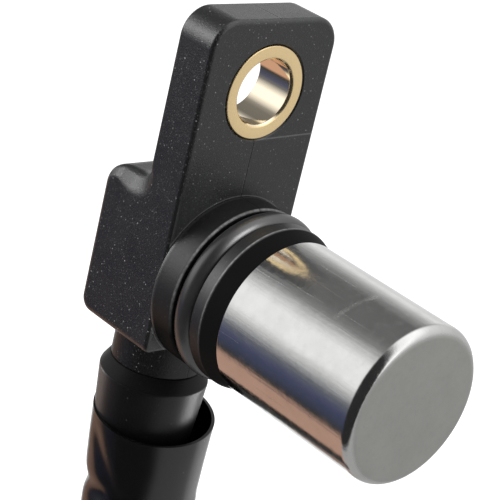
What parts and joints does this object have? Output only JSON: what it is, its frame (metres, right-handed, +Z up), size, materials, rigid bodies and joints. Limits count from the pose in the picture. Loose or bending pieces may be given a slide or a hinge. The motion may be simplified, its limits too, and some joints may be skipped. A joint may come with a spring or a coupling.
{
  "type": "crankshaft position sensor",
  "caption": "Inductive crankshaft position sensor: black moulded body with a brass bolt bush, steel-capped nose, seal ring and a sleeved lead with connector.",
  "frame": {"origin": "centre of the bolt bush on the plane of the mounting face", "axes": "+Y along the bolt bush, backwards from the mounting face; the nose points along -Y; +Z up along the ear; the lead hangs along -Z"},
  "size_m": [0.0208, 0.0408, 0.1773],
  "materials": {
    "housing_plastic": "satin moulded black",
    "bush_brass": "machined satin face, polished bore",
    "cap_steel": "polished deep-drawn stainless steel",
    "seal_rubber": "smooth oiled rubber",
    "pole_iron": "turned soft iron",
    "magnet_alloy": "sintered magnet",
    "bobbin_plastic": "moulded",
    "winding_copper": "enamelled copper",
    "pin_bronze": "tinned bronze",
    "crimp_tin": "tinned",
    "wire_insulation": "smooth",
    "boot_rubber": "semi-matte rubber",
    "tube_plastic": "glossy soft plastic",
    "connector_plastic": "satin moulded black",
    "retainer_plastic": "moulded",
    "terminal_tin": "tinned",
    "wire_seal_rubber": "soft silicone"
  },
  "bodies": {
    "root": {"housing": "housing_plastic", "mounting_bush": "bush_brass", "nose_cap": "cap_steel", "o_ring": "seal_rubber", "pole_piece": "pole_iron", "magnet": "magnet_alloy", "bobbin": "bobbin_plastic", "coil_winding": "winding_copper", "terminal_pin_1": "pin_bronze", "terminal_pin_2": "pin_bronze", "splice_crimp_1": "crimp_tin", "splice_crimp_2": "crimp_tin", "lead_wire_1": "wire_insulation", "lead_wire_2": "wire_insulation", "cable_boot": "boot_rubber", "protective_tube": "tube_plastic", "connector_rear_cover": "connector_plastic", "connector_housing": "connector_plastic", "connector_retainer": "retainer_plastic", "connector_terminal_1": "terminal_tin", "connector_terminal_2": "terminal_tin", "wire_seal_1": "wire_seal_rubber", "wire_seal_2": "wire_seal_rubber"}
  },
  "joints": []
}
